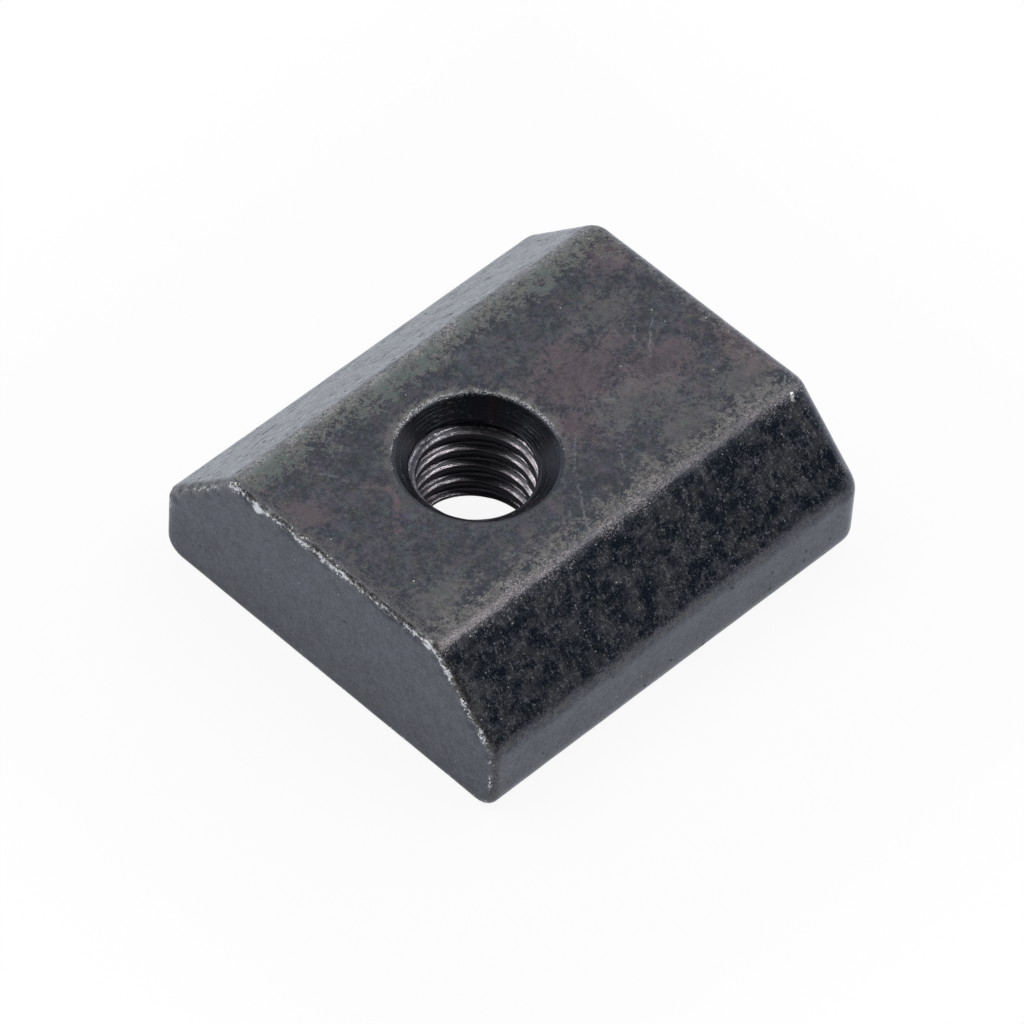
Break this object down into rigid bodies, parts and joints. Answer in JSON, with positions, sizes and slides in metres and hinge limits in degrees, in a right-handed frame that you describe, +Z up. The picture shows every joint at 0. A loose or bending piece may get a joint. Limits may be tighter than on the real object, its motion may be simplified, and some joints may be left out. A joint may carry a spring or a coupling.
{
  "type": "t-slot nut",
  "caption": "Slide-in nut for a T-shaped slot: a short black steel bar with a flat bottom, upright sides, sloped shoulders and an off-centre threaded through hole.",
  "frame": {"origin": "centre of the flat bottom", "axes": "+X along the slot from the sawn end to the rolled end, +Y across the slot, +Z up, out through the slot's mouth"},
  "size_m": [0.0218, 0.0196, 0.0075],
  "materials": {
    "black_steel": "black oxide on cold drawn bar, satin, worn bright along the edges"
  },
  "bodies": {
    "root": {"slot_nut": "black_steel"}
  },
  "joints": []
}
